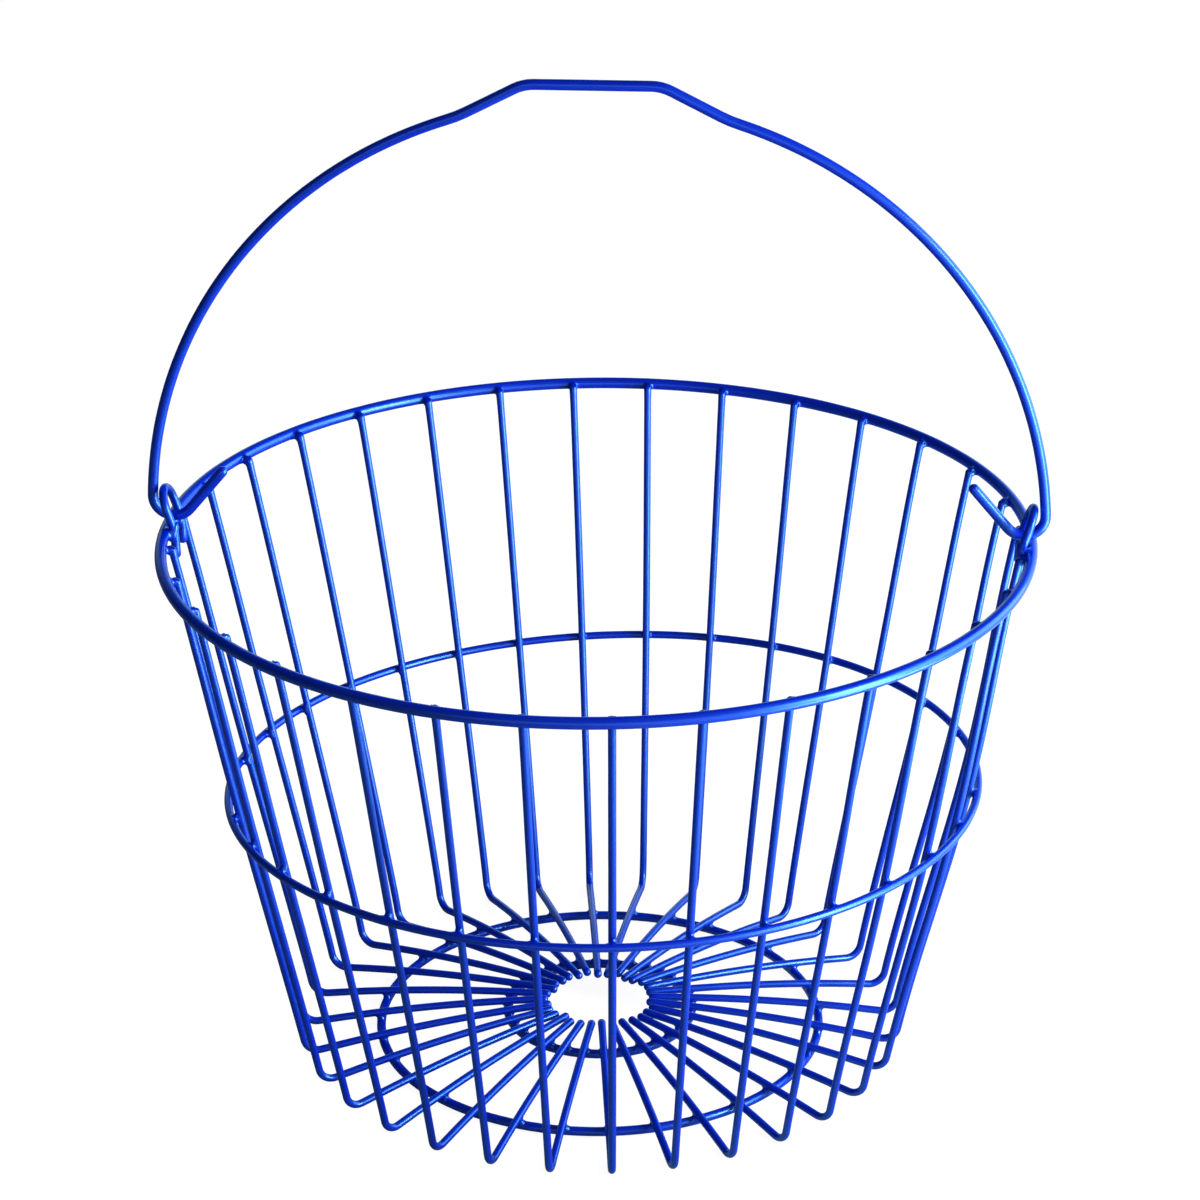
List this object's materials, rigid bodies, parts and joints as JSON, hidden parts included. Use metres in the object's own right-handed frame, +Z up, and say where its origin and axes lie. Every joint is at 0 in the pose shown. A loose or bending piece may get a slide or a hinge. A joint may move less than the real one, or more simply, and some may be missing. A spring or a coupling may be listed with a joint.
{
  "type": "wire egg basket",
  "caption": "Round wire egg basket with a flared wall of upright ribs, a spoked base and a free-swinging bail hooked through two ears, dipped in glossy blue plastic.",
  "frame": {"origin": "middle of the base, on the surface that the outer base ring stands on", "axes": "+Z up along the basket's axis, X along the hinge line from the left ear to the right ear, +Y to the back"},
  "size_m": [0.345, 0.336, 0.3928],
  "materials": {
    "blue_coat": "thick glossy blue plastic dip over steel wire"
  },
  "bodies": {
    "basket": {"rim_ring": "blue_coat", "mid_ring": "blue_coat", "outer_base_ring": "blue_coat", "inner_base_ring": "blue_coat", "rib_01": "blue_coat", "rib_02": "blue_coat", "rib_03": "blue_coat", "rib_04": "blue_coat", "rib_05": "blue_coat", "rib_06": "blue_coat", "rib_07": "blue_coat", "rib_08": "blue_coat", "rib_09": "blue_coat", "rib_10": "blue_coat", "rib_11": "blue_coat", "rib_12": "blue_coat", "rib_13": "blue_coat", "rib_14": "blue_coat", "rib_15": "blue_coat", "rib_16": "blue_coat", "rib_17": "blue_coat", "rib_18": "blue_coat", "rib_19": "blue_coat", "rib_20": "blue_coat", "rib_21": "blue_coat", "rib_22": "blue_coat", "rib_23": "blue_coat", "rib_24": "blue_coat", "rib_25": "blue_coat", "rib_26": "blue_coat", "rib_27": "blue_coat", "rib_28": "blue_coat", "rib_29": "blue_coat", "rib_30": "blue_coat", "rib_31": "blue_coat", "rib_32": "blue_coat", "ear_right": "blue_coat", "ear_left": "blue_coat"},
    "bail": {"bail": "blue_coat"}
  },
  "joints": [
    {"name": "bail_swing", "type": "hinge", "parent": "basket", "child": "bail", "pos_m": [0, 0, 0.2168], "axis": [1, 0, 0], "range_deg": [-100, 100]}
  ]
}
